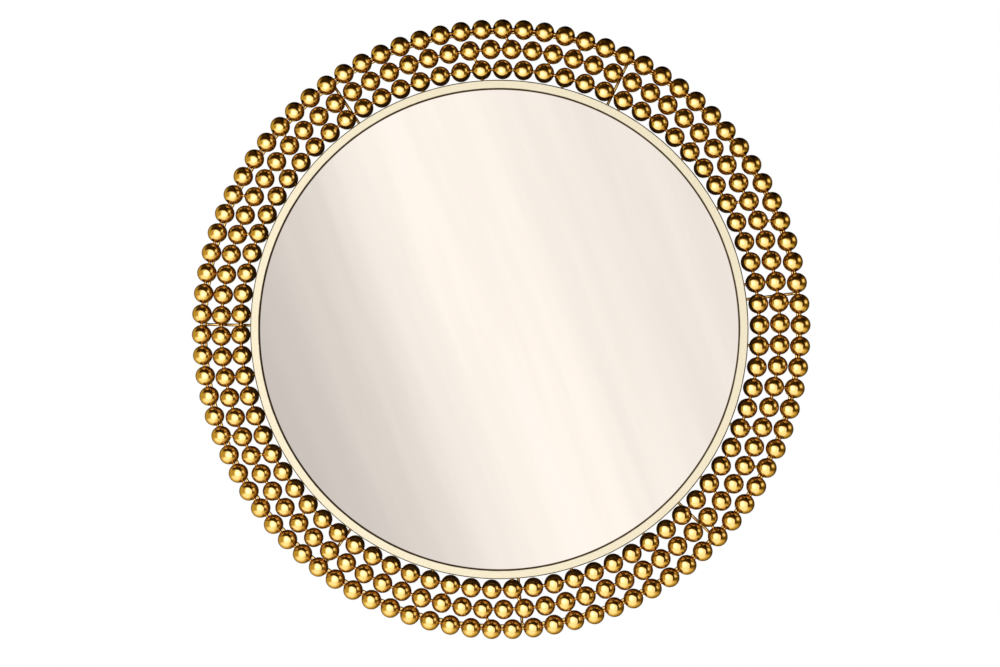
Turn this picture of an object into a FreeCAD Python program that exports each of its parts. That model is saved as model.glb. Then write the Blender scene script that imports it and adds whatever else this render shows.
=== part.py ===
import FreeCAD, Part
import math
import os
import re

import Sketcher
from FreeCAD import Placement, Rotation, Vector

# Round wall mirror: a flat glass disc in a shallow metal band, edged with three
# concentric rows of drilled balls threaded on wire rings.
#
# Frame: +Z up, +X to the right as the viewer sees it, the front faces -Y.
# The origin is on the wall plane (y = 0), behind the middle of the glass.
# Every "depth" below is a distance in front of the wall plane, so y = -depth.
# Angles run anticlockwise from +X as the viewer sees them.  Lengths are in mm.

OUT = "parts"

DRIVING = [
    # The band and what it holds.
    ("view_radius", 309.0, "radius of the glass that shows"),
    ("face_width", 11.5, "radial width of the band's front face"),
    ("band_wall", 2.0, "thickness of the band's outer wall"),
    ("lip_thick", 2.0, "thickness of the band's front lip"),
    ("edge_round", 1.6, "rounding of the band's outer front edge"),
    ("lip_round", 0.5, "rounding of the lip's inner front edge"),
    ("round_share", 0.9, "largest rounding, as a share of what it rounds"),
    ("wall_gap", 1.5, "gap between the band's rear edge and the wall"),
    ("strip_thick", 1.0, "glazing strip between lip and glass"),
    ("strip_setback", 1.0, "strip's inner edge behind the lip's edge"),
    ("strip_play", 0.3, "strip's outer edge to the band's wall"),
    ("glass_thick", 4.0, "mirror glass"),
    ("glass_play", 1.0, "glass edge to the band's wall"),
    ("glass_bevel", 0.5, "ground edge of the glass"),
    ("cushion_thick", 2.0, "foam sheet behind the glass"),
    ("cushion_play", 2.0, "foam edge to the band's wall"),
    ("board_thick", 12.0, "backing board"),
    ("board_play", 1.0, "board edge to the band's wall"),
    ("recess_depth", 9.0, "board's rear face in front of the wall"),
    # Clips that hold the board, and all the screws.
    ("clip_count", 8, "retaining clips round the board"),
    ("clip_angle", 22.5, "angle of the first clip"),
    ("clip_width", 18.0, "clip along the band"),
    ("clip_reach", 20.0, "clip's foot along the board"),
    ("clip_leg", 6.0, "clip's leg along the band's wall"),
    ("clip_thick", 1.5, "sheet of the clip"),
    ("clip_hole_inset", 13.0, "clip's screw from the band's wall"),
    ("weld_gap", 0.05, "gap left for the solder at a joint"),
    ("screw_radius", 1.75, "shank of every screw"),
    ("screw_head_radius", 3.4, "head of every screw"),
    ("screw_head_height", 2.0, "head of every screw"),
    ("head_rim_share", 0.5, "straight rim of a head, as a share of its height"),
    ("head_flat_share", 0.7, "flat top of a head, as a share of its radius"),
    ("screw_tip", 1.2, "length of the pointed end of a screw"),
    ("screw_play", 0.1, "radial clearance round a shank"),
    ("board_skin", 3.0, "board left in front of a screw's tip"),
    ("tip_play", 0.5, "empty hole past a screw's tip"),
    # Hangers on the back.
    ("hanger_across", 200.0, "each hanger from the middle, sideways"),
    ("hanger_height", 120.0, "hanger pivots above the middle"),
    ("strap_width", 14.0, "folded strap"),
    ("strap_thick", 1.2, "one ply of the strap"),
    ("strap_end", 3.5, "strap past its lower screw head"),
    ("strap_round", 3.0, "corner rounding of the strap"),
    ("strap_head_gap", 0.8, "loop of the strap to its upper screw head"),
    ("ring_wire", 1.5, "radius of the hanger ring's wire"),
    ("ring_turn_play", 0.15, "radial clearance of the ring's bar in the strap"),
    ("ring_side_play", 0.4, "clearance beside the strap"),
    ("ring_corner", 2.2, "bend radius at the ends of the ring's bar"),
    ("ring_leg", 1.8, "straight leg of the ring between bend and bow"),
    ("ring_head_gap", 1.5, "ring to a screw head when it lies on the strap"),
    ("ring_rest_gap", 0.3, "ring's tip to the board as it leans up"),
    # Rubber bumpers.
    ("bumper_count", 4, "bumpers on the board"),
    ("bumper_angle", 45.0, "angle of the first bumper"),
    ("bumper_place", 268.0, "bumpers from the middle"),
    ("bumper_radius", 8.0, "bumper"),
    ("bumper_round", 1.5, "rounding of the bumper's wall end"),
    # Rows of balls.
    ("ball_radius", 12.7, "ball"),
    ("ball_gap", 1.5, "least neck between two balls of a row"),
    ("row_gap", 0.38, "least gap between two rows"),
    ("first_gap", 2.0, "band to the inner row"),
    ("ball_proud", 2.7, "balls in front of the band's face"),
    ("wire_radius", 1.5, "wire that a row is threaded on"),
    ("wire_play", 0.1, "wire in a ball's hole, beyond the wire's own curve"),
    ("inner_angle", 1.12, "angle of the inner row's first ball"),
    ("middle_angle", 1.33, "angle of the middle row's first ball"),
    ("outer_angle", 0.95, "angle of the outer row's first ball"),
    # Support behind the rows.
    ("backing_wire", 2.0, "radius of the backing ring's wire"),
    ("backing_inset", 1.4, "backing ring inside the outer row's middle"),
    ("seat_gap", 0.15, "balls' backs to the backing ring"),
    ("spoke_radius", 1.9, "round rod of a spoke"),
    ("spoke_1_angle", 7.0, "spoke"),
    ("spoke_2_angle", 64.0, "spoke"),
    ("spoke_3_angle", 124.0, "spoke"),
    ("spoke_4_angle", 179.0, "spoke"),
    ("spoke_5_angle", 233.5, "spoke"),
    ("spoke_6_angle", 274.7, "spoke"),
    ("spoke_7_angle", 316.3, "spoke"),
    # Brazed ties between neighbouring rows.
    ("tie_radius", 1.5, "brazed pin between two balls"),
    ("tie_count", 22, "pins between two rows"),
    ("band_tie_angle", 11.0, "angle of the first pin, band to inner row"),
    ("inner_tie_angle", 12.0, "angle of the first pin, inner to middle row"),
    ("outer_tie_angle", 5.5, "angle of the first pin, middle to outer row"),
]

DERIVED = [
    ("band_radius", "view_radius + face_width"),
    ("wall_radius", "band_radius - band_wall"),
    ("board_front", "recess_depth + board_thick"),
    ("cushion_front", "board_front + cushion_thick"),
    ("glass_front", "cushion_front + glass_thick"),
    ("strip_front", "glass_front + strip_thick"),
    ("band_front", "strip_front + lip_thick"),
    ("glass_radius", "wall_radius - glass_play"),
    ("clip_back", "clip_width ^ 2 / (8 * wall_radius) + weld_gap"),
    ("clip_edge", "wall_radius - clip_back"),
    ("clip_rear", "recess_depth - clip_thick"),
    ("clip_hole", "wall_radius - clip_hole_inset"),
    ("screw_bite", "board_thick - board_skin"),
    ("screw_hole", "screw_radius + screw_play"),
    ("loop_radius", "ring_wire + ring_turn_play + strap_thick"),
    ("strap_height", "2 * strap_thick"),
    ("strap_rear", "recess_depth - strap_height"),
    ("pivot_depth", "recess_depth - loop_radius"),
    ("upper_screw", "loop_radius + strap_head_gap + screw_head_radius"),
    ("bar_half", "strap_width / 2 + ring_side_play"),
    ("bow_radius", "bar_half + ring_corner"),
    ("ring_least", "ring_corner + ring_leg + bow_radius"),
    ("ring_needed", "upper_screw + screw_head_radius + ring_head_gap + ring_wire"),
    ("ring_reach", "max(ring_least; ring_needed)"),
    ("bow_height", "ring_reach - bow_radius"),
    ("lower_screw", "ring_reach + ring_wire + ring_head_gap + screw_head_radius"),
    ("strap_length", "lower_screw + screw_head_radius + strap_end"),
    ("ring_lean", "asin((loop_radius - ring_wire - ring_rest_gap) / ring_reach)"),
    ("ball_depth", "band_front + ball_proud - ball_radius"),
    ("inner_radius", "band_radius + first_gap + ball_radius"),
    ("middle_radius", "inner_radius + 2 * ball_radius + row_gap"),
    ("outer_radius", "middle_radius + 2 * ball_radius + row_gap"),
    ("ball_pitch", "2 * ball_radius + ball_gap"),
    ("inner_count", "floor(2 * pi * inner_radius / ball_pitch)"),
    ("middle_count", "floor(2 * pi * middle_radius / ball_pitch)"),
    ("outer_count", "floor(2 * pi * outer_radius / ball_pitch)"),
    ("wire_curve", "ball_radius ^ 2 / (2 * inner_radius)"),
    ("hole_radius", "wire_radius + wire_play + wire_curve"),
    ("hole_half", "sqrt(ball_radius ^ 2 - hole_radius ^ 2)"),
    ("backing_radius", "outer_radius - backing_inset"),
    ("rear_rod", "max(backing_wire; spoke_radius)"),
    ("backing_depth", "ball_depth - ball_radius - seat_gap - rear_rod"),
]

ALIASES = {entry[0]: "Sizes." + entry[0] for entry in DRIVING + DERIVED}
ROWS = ("inner", "middle", "outer")
SPOKES = 7

# Turns a direction anticlockwise as the viewer sees it.
VIEW_AXIS = Vector(0, -1, 0)
# Stands a ring or a disc, made about +Z, up so that it faces the viewer.
FACE_VIEWER = Rotation(Vector(1, 0, 0), 90)
# Lengths and volumes that differ by less than this are taken as equal.
SAME = 1e-4

doc = FreeCAD.newDocument("RoundMirror")
sheet = doc.addObject("Spreadsheet::Sheet", "Sizes")


def fill_sheet():
    row = 1
    for name, value, note in DRIVING:
        sheet.set("A%d" % row, name)
        sheet.set("B%d" % row, str(value))
        sheet.set("C%d" % row, note)
        sheet.setAlias("B%d" % row, name)
        row += 1
    doc.recompute()
    for name, formula in DERIVED:
        sheet.set("A%d" % row, name)
        sheet.set("B%d" % row, "=" + formula)
        sheet.setAlias("B%d" % row, name)
        row += 1
    doc.recompute()


def size(name):
    return float(getattr(sheet, name))


def in_sizes(expression):
    """Put the sheet's name before each of its aliases in an expression."""
    return re.sub(r"[a-z]\w*", lambda word: ALIASES.get(word[0], word[0]), expression)


def value_of(expression):
    return float(sheet.evalExpression(in_sizes(expression)))


def bind(thing, path, expression):
    thing.setExpression(path, in_sizes(expression))


# ---------------------------------------------------------------- bodies and sketches

def new_body(label):
    body = doc.addObject("PartDesign::Body", label)
    body.Label = label
    body.Placement = Placement()
    return body


def origin_of(body, role):
    return next(item for item in body.Origin.OriginFeatures if item.Role == role)


def new_sketch(body, role, name, offset=None):
    sketch = body.newObject("Sketcher::SketchObject", body.Name + "_" + name)
    sketch.AttachmentSupport = [(origin_of(body, role), "")]
    sketch.MapMode = "FlatFace"
    if offset is not None:
        bind(sketch, "AttachmentOffset.Base.z", offset)
    return sketch


def dimension(sketch, kind, places, expression):
    index = sketch.addConstraint(Sketcher.Constraint(kind, *places, value_of(expression)))
    bind(sketch, "Constraints[%d]" % index, expression)


def pin_point(sketch, edge, end, across, up):
    """Fix one end of an edge; a coordinate of None lies on that axis."""
    if across is None:
        sketch.addConstraint(Sketcher.Constraint("PointOnObject", edge, end, -2))
    else:
        dimension(sketch, "DistanceX", (-1, 1, edge, end), across)
    if up is None:
        sketch.addConstraint(Sketcher.Constraint("PointOnObject", edge, end, -1))
    else:
        dimension(sketch, "DistanceY", (-1, 1, edge, end), up)


def outline(sketch, corners):
    """A closed outline of straight lines through the corners."""
    places = []
    for across, up in corners:
        x = 0.0 if across is None else value_of(across)
        y = 0.0 if up is None else value_of(up)
        places.append(Vector(x, y, 0))
    count = len(places)
    first = sketch.GeometryCount
    for i in range(count):
        sketch.addGeometry(Part.LineSegment(places[i], places[(i + 1) % count]), False)
    for i in range(count):
        ends = (first + i, 2, first + (i + 1) % count, 1)
        sketch.addConstraint(Sketcher.Constraint("Coincident", *ends))
    for i, (across, up) in enumerate(corners):
        pin_point(sketch, first + i, 1, across, up)


def circle(sketch, across, up, radius):
    x = 0.0 if across is None else value_of(across)
    y = 0.0 if up is None else value_of(up)
    form = Part.Circle(Vector(x, y, 0), Vector(0, 0, 1), value_of(radius))
    edge = sketch.addGeometry(form, False)
    pin_point(sketch, edge, 3, across, up)
    dimension(sketch, "Radius", (edge,), radius)


def revolve(body, sketch, name, axis="V_Axis"):
    turn = body.newObject("PartDesign::Revolution", body.Name + "_" + name)
    turn.Profile = sketch
    turn.ReferenceAxis = (sketch, [axis])
    turn.Angle = 360
    return turn


def pad(body, sketch, name, length, backwards=False, midplane=False):
    block = body.newObject("PartDesign::Pad", body.Name + "_" + name)
    block.Profile = sketch
    block.Reversed = backwards
    block.Midplane = midplane
    bind(block, "Length", length)
    return block


def pocket(body, sketch, name, length, backwards=False):
    before = body.Shape.Volume
    cut = body.newObject("PartDesign::Pocket", body.Name + "_" + name)
    cut.Profile = sketch
    cut.Reversed = backwards
    bind(cut, "Length", length)
    doc.recompute()
    if cut.Shape.Volume >= before - SAME:
        raise RuntimeError(cut.Name + " removes nothing")
    return cut


def polar(body, features, name, count):
    pattern = body.newObject("PartDesign::PolarPattern", body.Name + "_" + name)
    pattern.Originals = features
    pattern.Axis = (origin_of(body, "Y_Axis"), [""])
    pattern.Angle = 360
    bind(pattern, "Occurrences", count)
    body.Tip = pattern
    return pattern


def mirror_across(body, features, name):
    twin = body.newObject("PartDesign::Mirrored", body.Name + "_" + name)
    twin.Originals = features
    twin.MirrorPlane = (origin_of(body, "YZ_Plane"), [""])
    body.Tip = twin
    return twin


def edges_where(shape, wanted):
    return ["Edge%d" % (i + 1) for i, edge in enumerate(shape.Edges) if wanted(edge)]


def fillet(body, base, edges, name, radius):
    if not edges:
        raise RuntimeError(body.Name + " has no edge to round for " + name)
    rounded = body.newObject("PartDesign::Fillet", body.Name + "_" + name)
    rounded.Base = (base, edges)
    bind(rounded, "Radius", radius)
    return rounded


def is_circle_at(edge, radius, y):
    if edge.Curve.TypeId != "Part::GeomCircle":
        return False
    return abs(edge.Curve.Radius - radius) < SAME and abs(edge.Curve.Center.y - y) < SAME


def turned(thing, angle):
    """Turn a sub-part about the mirror's axis, anticlockwise to the viewer."""
    thing.Placement = Placement(Vector(0, 0, 0), Rotation(VIEW_AXIS, value_of(angle)))
    bind(thing, "Placement.Rotation.Angle", angle)


# ---------------------------------------------------------------- band and its filling

def make_rim_band():
    """Hoop of L section: outer wall, and a lip in front of the glass."""
    body = new_body("rim_band")
    sketch = new_sketch(body, "XY_Plane", "section")
    outline(sketch, [
        ("view_radius", "- band_front"),
        ("band_radius", "- band_front"),
        ("band_radius", "- wall_gap"),
        ("wall_radius", "- wall_gap"),
        ("wall_radius", "- strip_front"),
        ("view_radius", "- strip_front"),
    ])
    hoop = revolve(body, sketch, "hoop")
    doc.recompute()
    front = -size("band_front")
    outer = edges_where(hoop.Shape, lambda e: is_circle_at(e, size("band_radius"), front))
    largest = "min(edge_round; min(band_wall; lip_thick) * round_share)"
    big = fillet(body, hoop, outer, "outer_round", largest)
    doc.recompute()
    inner = edges_where(big.Shape, lambda e: is_circle_at(e, size("view_radius"), front))
    fillet(body, big, inner, "lip_edge", "min(lip_round; lip_thick * round_share)")
    return body


def disc(label, radius, front, rear, bevel=None):
    body = new_body(label)
    sketch = new_sketch(body, "XY_Plane", "section")
    if bevel is None:
        corners = [(None, "- " + front), (radius, "- " + front)]
        corners += [(radius, "- " + rear), (None, "- " + rear)]
    else:
        corners = [(None, "- " + front)]
        corners += [(radius + " - " + bevel, "- " + front)]
        corners += [(radius, bevel + " - " + front)]
        corners += [(radius, "- " + rear + " - " + bevel)]
        corners += [(radius + " - " + bevel, "- " + rear)]
        corners += [(None, "- " + rear)]
    outline(sketch, corners)
    revolve(body, sketch, "disc")
    return body


def make_glazing_strip():
    body = new_body("glazing_strip")
    sketch = new_sketch(body, "XY_Plane", "section")
    outline(sketch, [
        ("view_radius + strip_setback", "- strip_front"),
        ("wall_radius - strip_play", "- strip_front"),
        ("wall_radius - strip_play", "- glass_front"),
        ("view_radius + strip_setback", "- glass_front"),
    ])
    revolve(body, sketch, "ring")
    return body


def make_backing_board():
    """Disc with blind holes for the clip screws and the hanger screws."""
    body = disc("backing_board", "wall_radius - board_play", "board_front", "recess_depth")
    doc.recompute()
    depth = "screw_bite + tip_play"
    sketch = new_sketch(body, "XZ_Plane", "clip_hole", "recess_depth")
    circle(sketch, "clip_hole * cos( clip_angle )", "clip_hole * sin( clip_angle )", "screw_hole")
    hole = pocket(body, sketch, "clip_pocket", depth, backwards=True)
    polar(body, [hole], "clip_holes", "clip_count")
    doc.recompute()
    sketch = new_sketch(body, "XZ_Plane", "hanger_hole", "recess_depth")
    for name in ("upper_screw", "lower_screw"):
        circle(sketch, "hanger_across", "hanger_height - " + name, "screw_hole")
    hole = pocket(body, sketch, "hanger_pocket", depth, backwards=True)
    mirror_across(body, [hole], "hanger_holes")
    return body


def make_retaining_clips():
    """Bent clips: the foot lies on the board, the leg is welded to the band."""
    body = new_body("retaining_clips")
    sketch = new_sketch(body, "XY_Plane", "bend")
    outline(sketch, [
        ("clip_edge - clip_reach", "- recess_depth"),
        ("clip_edge", "- recess_depth"),
        ("clip_edge", "clip_leg - recess_depth"),
        ("clip_edge - clip_thick", "clip_leg - recess_depth"),
        ("clip_edge - clip_thick", "- clip_rear"),
        ("clip_edge - clip_reach", "- clip_rear"),
    ])
    strip = pad(body, sketch, "strip", "clip_width", midplane=True)
    doc.recompute()
    sketch = new_sketch(body, "XZ_Plane", "hole", "clip_rear")
    circle(sketch, "clip_hole", None, "screw_hole")
    hole = pocket(body, sketch, "hole_cut", "clip_thick", backwards=True)
    polar(body, [strip, hole], "ring", "clip_count")
    turned(body, "clip_angle")
    return body


def turning_axis(sketch, middle, length):
    """A line along Y through the given middle, for the outline to turn about."""
    start = Vector(value_of(middle), 0, 0)
    line = Part.LineSegment(start, start + Vector(0, value_of(length), 0))
    axis = sketch.addGeometry(line, True)
    sketch.addConstraint(Sketcher.Constraint("Vertical", axis))
    pin_point(sketch, axis, 1, middle, None)
    dimension(sketch, "DistanceY", (axis, 1, axis, 2), length)


def screw(body, name, middle, seat, height=None):
    """One screw along Y: flat-topped head behind its seat, point in front."""
    sketch = new_sketch(body, "XY_Plane", name, height)
    tip = "- recess_depth - screw_bite"
    outline(sketch, [
        (middle, tip),
        (middle + " + screw_radius", tip + " + screw_tip"),
        (middle + " + screw_radius", "- " + seat),
        (middle + " + screw_head_radius", "- " + seat),
        (middle + " + screw_head_radius", "screw_head_height * head_rim_share - " + seat),
        (middle + " + screw_head_radius * head_flat_share", "screw_head_height - " + seat),
        (middle, "screw_head_height - " + seat),
    ])
    turning_axis(sketch, middle, "screw_bite")
    return revolve(body, sketch, name + "_turned", "Axis0")


def make_clip_screws():
    body = new_body("clip_screws")
    one = screw(body, "screw", "clip_hole", "clip_rear")
    polar(body, [one], "ring", "clip_count")
    turned(body, "clip_angle")
    return body


def make_hanger_screws():
    body = new_body("hanger_screws")
    pair = []
    for name in ("upper_screw", "lower_screw"):
        height = "hanger_height - " + name
        pair.append(screw(body, name, "hanger_across", "strap_rear", height))
    mirror_across(body, pair, "other_side")
    return body


# ---------------------------------------------------------------- hangers and bumpers

def place_hanger(body, side, depth):
    sign = "" if side == "right" else "- "
    bind(body, "Placement.Base.x", sign + "hanger_across")
    bind(body, "Placement.Base.y", "- " + depth)
    bind(body, "Placement.Base.z", "hanger_height")


def make_hanger_strap(side):
    """Strip folded double round the ring's bar, screwed flat on the board."""
    body = new_body("hanger_strap_" + side)
    sketch = new_sketch(body, "YZ_Plane", "fold")
    radius = size("loop_radius")
    height = size("strap_height")
    length = size("strap_length")
    meet = Vector(height, -math.sqrt(radius ** 2 - (height - radius) ** 2), 0)
    centre = Vector(radius, 0, 0)
    end_angle = math.atan2(meet.y, meet.x - radius)
    sketch.addGeometry(Part.LineSegment(Vector(0, -length, 0), Vector(0, 0, 0)), False)
    ring = Part.Circle(centre, Vector(0, 0, 1), radius)
    sketch.addGeometry(Part.ArcOfCircle(ring, end_angle, math.pi), False)
    sketch.addGeometry(Part.LineSegment(meet, Vector(height, -length, 0)), False)
    sketch.addGeometry(Part.LineSegment(Vector(height, -length, 0), Vector(0, -length, 0)), False)
    for ends in ((0, 2, 1, 2), (1, 1, 2, 1), (2, 2, 3, 1), (3, 2, 0, 1)):
        sketch.addConstraint(Sketcher.Constraint("Coincident", *ends))
    pin_point(sketch, 0, 1, None, "- strap_length")
    sketch.addConstraint(Sketcher.Constraint("Coincident", 0, 2, -1, 1))
    pin_point(sketch, 1, 3, "loop_radius", None)
    dimension(sketch, "DistanceX", (-1, 1, 1, 1), "strap_height")
    pin_point(sketch, 2, 2, "strap_height", "- strap_length")
    circle(sketch, "loop_radius", None, "ring_wire + ring_turn_play")
    plies = pad(body, sketch, "plies", "strap_width", midplane=True)
    doc.recompute()
    corners = edges_where(plies.Shape, lambda e: is_end_corner(e, length))
    fillet(body, plies, corners, "corners", "min(strap_round; strap_width / 2 * round_share)")
    doc.recompute()
    sketch = new_sketch(body, "XZ_Plane", "holes", "- strap_height")
    for name in ("upper_screw", "lower_screw"):
        circle(sketch, None, "- " + name, "screw_hole")
    body.Tip = pocket(body, sketch, "hole_cut", "strap_height", backwards=True)
    place_hanger(body, side, "recess_depth")
    return body


def is_end_corner(edge, length):
    along = edge.Vertexes[0].Point - edge.Vertexes[-1].Point
    low = abs(edge.Vertexes[0].Z + length) < SAME
    return low and abs(along.x) < SAME and abs(along.z) < SAME


def make_hanger_ring(side):
    """D-shaped ring of round wire; its straight bar turns in the strap."""
    body = new_body("hanger_ring_" + side)
    half = size("bar_half")
    corner = size("ring_corner")
    bow = size("bow_radius")
    high = size("bow_height")
    spine = new_sketch(body, "XZ_Plane", "spine")
    up = Vector(0, 0, 1)
    spine.addGeometry(Part.LineSegment(Vector(0, 0, 0), Vector(half, 0, 0)), False)
    bend = Part.Circle(Vector(half, corner, 0), up, corner)
    spine.addGeometry(Part.ArcOfCircle(bend, -math.pi / 2, 0), False)
    spine.addGeometry(Part.LineSegment(Vector(bow, corner, 0), Vector(bow, high, 0)), False)
    spine.addGeometry(Part.ArcOfCircle(Part.Circle(Vector(0, high, 0), up, bow), 0, math.pi), False)
    spine.addGeometry(Part.LineSegment(Vector(-bow, high, 0), Vector(-bow, corner, 0)), False)
    bend = Part.Circle(Vector(-half, corner, 0), up, corner)
    spine.addGeometry(Part.ArcOfCircle(bend, math.pi, 3 * math.pi / 2), False)
    spine.addGeometry(Part.LineSegment(Vector(-half, 0, 0), Vector(0, 0, 0)), False)
    for ends in ((0, 2, 1, 1), (1, 2, 2, 1), (2, 2, 3, 1), (3, 2, 4, 1), (4, 2, 5, 1), (5, 2, 6, 1)):
        spine.addConstraint(Sketcher.Constraint("Coincident", *ends))
    spine.addConstraint(Sketcher.Constraint("Coincident", 6, 2, 0, 1))
    spine.addConstraint(Sketcher.Constraint("Coincident", 0, 1, -1, 1))
    pin_point(spine, 0, 2, "bar_half", None)
    pin_point(spine, 6, 1, "- bar_half", None)
    pin_point(spine, 1, 3, "bar_half", "ring_corner")
    pin_point(spine, 5, 3, "- bar_half", "ring_corner")
    pin_point(spine, 3, 3, None, "bow_height")
    pin_point(spine, 3, 1, "bow_radius", "bow_height")
    dimension(spine, "DistanceY", (-1, 1, 1, 2), "ring_corner")
    dimension(spine, "DistanceY", (-1, 1, 5, 1), "ring_corner")
    dimension(spine, "DistanceY", (-1, 1, 3, 2), "bow_height")
    wire = new_sketch(body, "YZ_Plane", "wire")
    circle(wire, None, None, "ring_wire")
    pipe = body.newObject("PartDesign::AdditivePipe", body.Name + "_pipe")
    pipe.Profile = wire
    pipe.Spine = (spine, [])
    # The ring leans up against the board, its stop when nothing hangs on it.
    body.Placement = Placement(Vector(0, 0, 0), Rotation(Vector(1, 0, 0), value_of("ring_lean")))
    bind(body, "Placement.Rotation.Angle", "ring_lean")
    place_hanger(body, side, "pivot_depth")
    return body


def make_wall_bumpers():
    body = new_body("wall_bumpers")
    sketch = new_sketch(body, "XY_Plane", "section")
    outline(sketch, [
        ("bumper_place", "- recess_depth"),
        ("bumper_place + bumper_radius", "- recess_depth"),
        ("bumper_place + bumper_radius", "- bumper_round"),
        ("bumper_place + bumper_radius - bumper_round", None),
        ("bumper_place", None),
    ])
    turning_axis(sketch, "bumper_place", "bumper_radius")
    one = revolve(body, sketch, "bumper", "Axis0")
    polar(body, [one], "ring", "bumper_count")
    turned(body, "bumper_angle")
    return body


# ---------------------------------------------------------------- rows of balls

def wire_ring(label, radius, wire, depth):
    ring = doc.addObject("Part::Torus", label)
    ring.Label = label
    ring.Placement = Placement(Vector(0, 0, 0), FACE_VIEWER)
    bind(ring, "Radius1", radius)
    bind(ring, "Radius2", wire)
    bind(ring, "Placement.Base.y", "- " + depth)
    return ring


def make_bead_row(row):
    """Balls drilled along the row's circle, spaced evenly round it."""
    body = new_body(row + "_beads")
    place = row + "_radius"
    ball = size("ball_radius")
    hole = size("hole_radius")
    half = size("hole_half")
    sketch = new_sketch(body, "XZ_Plane", "half_ball")
    centre = Vector(size(place), 0, 0)
    reach = math.atan2(half, hole)
    globe = Part.Circle(centre, Vector(0, 0, 1), ball)
    sketch.addGeometry(Part.ArcOfCircle(globe, -reach, reach), False)
    top = centre + Vector(hole, half, 0)
    bottom = centre + Vector(hole, -half, 0)
    sketch.addGeometry(Part.LineSegment(top, bottom), False)
    axis = sketch.addGeometry(Part.LineSegment(centre, centre + Vector(0, ball, 0)), True)
    sketch.addConstraint(Sketcher.Constraint("Coincident", 0, 2, 1, 1))
    sketch.addConstraint(Sketcher.Constraint("Coincident", 0, 1, 1, 2))
    sketch.addConstraint(Sketcher.Constraint("Vertical", 1))
    pin_point(sketch, 0, 3, place, None)
    dimension(sketch, "Radius", (0,), "ball_radius")
    dimension(sketch, "DistanceX", (-1, 1, 1, 1), place + " + hole_radius")
    sketch.addConstraint(Sketcher.Constraint("Vertical", axis))
    sketch.addConstraint(Sketcher.Constraint("Coincident", axis, 1, 0, 3))
    dimension(sketch, "DistanceY", (axis, 1, axis, 2), "ball_radius")
    one = revolve(body, sketch, "ball", "Axis0")
    polar(body, [one], "row", row + "_count")
    turned(body, row + "_angle")
    bind(body, "Placement.Base.y", "- ball_depth")
    return body


def ball_angles(row):
    count = int(round(size(row + "_count")))
    return [size(row + "_angle") + 360.0 * i / count for i in range(count)]


def apart(first, second):
    return abs((first - second + 180.0) % 360.0 - 180.0)


def on_circle(radius, angle, depth):
    turn = math.radians(angle)
    return Vector(radius * math.cos(turn), -depth, radius * math.sin(turn))


def tie_angles(start):
    count = int(round(size("tie_count")))
    return [size(start) + 360.0 * i / count for i in range(count)]


def pin_between(first, second, radius, balls):
    """Round pin on the line of two points, cut back to the balls it joins."""
    along = second - first
    pin = Part.makeCylinder(radius, along.Length, first, along)
    for centre in balls:
        pin = pin.cut(Part.makeSphere(size("ball_radius") + size("weld_gap"), centre))
    return pin.Solids


def make_row_ties(label, near, far, start):
    pins = []
    depth = size("ball_depth")
    for angle in tie_angles(start):
        from_angle = min(ball_angles(far), key=lambda a: apart(a, angle))
        to_angle = min(ball_angles(near), key=lambda a: apart(a, from_angle))
        outer = on_circle(size(far + "_radius"), from_angle, depth)
        inner = on_circle(size(near + "_radius"), to_angle, depth)
        pins += pin_between(inner, outer, size("tie_radius"), (inner, outer))
    return fixed_shape(label, pins)


def make_band_ties():
    pins = []
    depth = size("ball_depth")
    foot = size("band_radius") + size("weld_gap")
    for angle in tie_angles("band_tie_angle"):
        ball_angle = min(ball_angles("inner"), key=lambda a: apart(a, angle))
        ball = on_circle(size("inner_radius"), ball_angle, depth)
        start = on_circle(foot, ball_angle, depth)
        pins += pin_between(start, ball, size("tie_radius"), (ball,))
    return fixed_shape("inner_band_ties", pins)


def fixed_shape(label, solids):
    feature = doc.addObject("Part::Feature", label)
    feature.Label = label
    feature.Shape = Part.makeCompound(solids)
    feature.Placement = Placement()
    return feature


def make_spoke(number):
    """Rod from the band to the backing ring, its outer end coped to the ring."""
    label = "spoke_%d" % number
    rod = doc.addObject("Part::Cylinder", label + "_rod")
    rod.Placement = Placement(Vector(0, 0, 0), Rotation(Vector(0, 1, 0), 90))
    bind(rod, "Radius", "spoke_radius")
    bind(rod, "Height", "backing_radius - band_radius - weld_gap")
    bind(rod, "Placement.Base.x", "band_radius + weld_gap")
    bind(rod, "Placement.Base.y", "- backing_depth")
    cope = wire_ring(label + "_cope", "backing_radius", "backing_wire + weld_gap", "backing_depth")
    spoke = doc.addObject("Part::Cut", label)
    spoke.Label = label
    spoke.Base = rod
    spoke.Tool = cope
    turned(spoke, "spoke_%d_angle" % number)
    return spoke


# ---------------------------------------------------------------- the whole mirror

def build():
    fill_sheet()
    parts = [make_rim_band(), make_glazing_strip()]
    parts.append(disc("mirror_glass", "glass_radius", "glass_front", "cushion_front", "glass_bevel"))
    parts.append(disc("cushion_sheet", "wall_radius - cushion_play", "cushion_front", "board_front"))
    parts += [make_backing_board(), make_retaining_clips(), make_clip_screws()]
    for side in ("left", "right"):
        parts += [make_hanger_strap(side), make_hanger_ring(side)]
    parts += [make_hanger_screws(), make_wall_bumpers()]
    parts.append(wire_ring("backing_ring", "backing_radius", "backing_wire", "backing_depth"))
    parts += [make_spoke(number + 1) for number in range(SPOKES)]
    for row in ROWS:
        parts.append(wire_ring(row + "_bead_wire", row + "_radius", "wire_radius", "ball_depth"))
        parts.append(make_bead_row(row))
    parts.append(make_band_ties())
    parts.append(make_row_ties("middle_inner_ties", "inner", "middle", "inner_tie_angle"))
    parts.append(make_row_ties("outer_middle_ties", "middle", "outer", "outer_tie_angle"))
    doc.recompute()
    return parts


def check(parts):
    for item in doc.Objects:
        if "Invalid" in item.State or "Error" in item.State:
            raise RuntimeError("failed: " + item.Name)
    for part in parts:
        if part.Shape.isNull() or not part.Shape.isValid() or not part.Shape.Solids:
            raise RuntimeError("bad shape: " + part.Label)


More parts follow.
